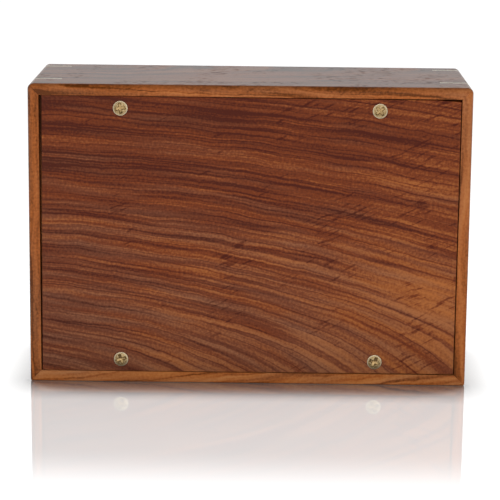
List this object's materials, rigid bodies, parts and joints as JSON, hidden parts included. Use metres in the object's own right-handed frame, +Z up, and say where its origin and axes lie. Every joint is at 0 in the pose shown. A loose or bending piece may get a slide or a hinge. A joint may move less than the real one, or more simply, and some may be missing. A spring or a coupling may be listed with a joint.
{
  "type": "inlaid wooden box",
  "caption": "Rectangular rosewood keepsake box with mitred corners, light inlaid corner keys and a base panel held by countersunk screws.",
  "frame": {"origin": "middle of the long side that the box stands on, halfway between the base rim and the face", "axes": "+X along the long sides, +Y from the base panel towards the face board, +Z up along the short sides"},
  "size_m": [0.254, 0.096, 0.175],
  "materials": {
    "rosewood_case": "satin",
    "rosewood_face": "satin",
    "rosewood_base": "satin",
    "maple_key": "satin",
    "brass_screw": "satin"
  },
  "bodies": {
    "case": {"long_side_bottom": "rosewood_case", "long_side_top": "rosewood_case", "short_side_left": "rosewood_case", "short_side_right": "rosewood_case", "face_board": "rosewood_face", "key_base_bottom_left": "maple_key", "key_base_bottom_right": "maple_key", "key_base_top_left": "maple_key", "key_base_top_right": "maple_key", "key_face_bottom_left": "maple_key", "key_face_bottom_right": "maple_key", "key_face_top_left": "maple_key", "key_face_top_right": "maple_key"},
    "base_panel": {"base_panel": "rosewood_base"},
    "screw_bottom_left": {"screw_bottom_left": "brass_screw"},
    "screw_bottom_right": {"screw_bottom_right": "brass_screw"},
    "screw_top_left": {"screw_top_left": "brass_screw"},
    "screw_top_right": {"screw_top_right": "brass_screw"}
  },
  "joints": [
    {"name": "base_panel_lift", "type": "slide", "parent": "case", "child": "base_panel", "axis": [0, -1, 0], "range_m": [0, 0.08]},
    {"name": "screw_bottom_left_unscrew", "type": "slide", "parent": "base_panel", "child": "screw_bottom_left", "axis": [0, -1, 0], "range_m": [0, 0.03]},
    {"name": "screw_bottom_right_unscrew", "type": "slide", "parent": "base_panel", "child": "screw_bottom_right", "axis": [0, -1, 0], "range_m": [0, 0.03]},
    {"name": "screw_top_left_unscrew", "type": "slide", "parent": "base_panel", "child": "screw_top_left", "axis": [0, -1, 0], "range_m": [0, 0.03]},
    {"name": "screw_top_right_unscrew", "type": "slide", "parent": "base_panel", "child": "screw_top_right", "axis": [0, -1, 0], "range_m": [0, 0.03]}
  ]
}
